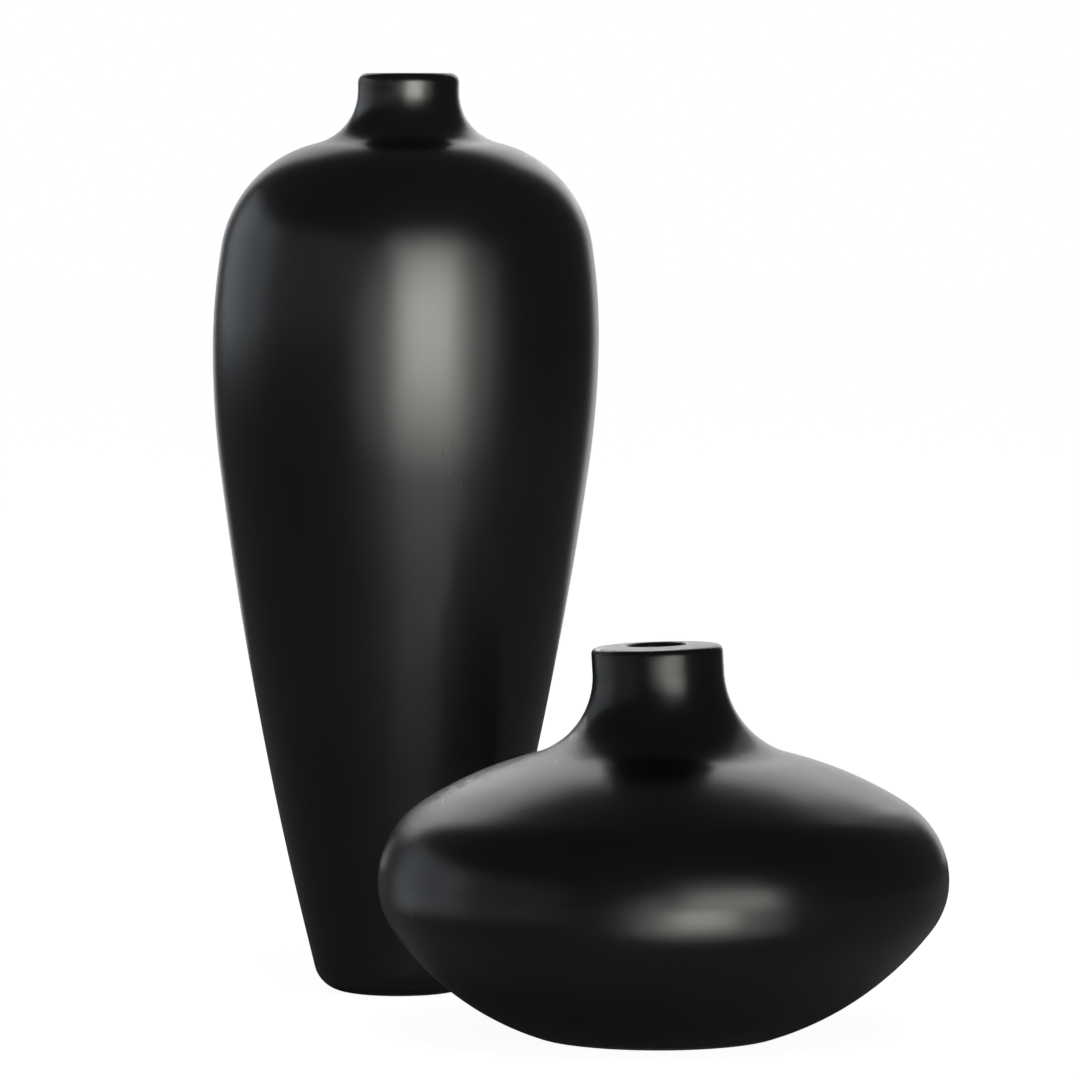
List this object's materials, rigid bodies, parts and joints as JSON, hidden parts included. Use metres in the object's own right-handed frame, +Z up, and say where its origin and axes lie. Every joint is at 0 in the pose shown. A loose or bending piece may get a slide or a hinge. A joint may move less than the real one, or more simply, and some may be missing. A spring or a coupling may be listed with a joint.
{
  "type": "pottery vase set",
  "caption": "Matched set of a tall slender pot and a low wide pot in burnished black clay, for display or for a few dried stems",
  "frame": {"origin": "middle of the tall pot's foot, on the surface that both pots stand on", "axes": "+Z up along the tall pot's axis, +X to the right, -Y to the front; the low pot stands to the right and in front"},
  "size_m": [0.3125, 0.3545, 0.4],
  "materials": {
    "tall_clay": "satin, burnished and unglazed",
    "low_clay": "satin, burnished and unglazed"
  },
  "bodies": {
    "root": {"tall_pot": "tall_clay", "low_pot": "low_clay"}
  },
  "joints": []
}
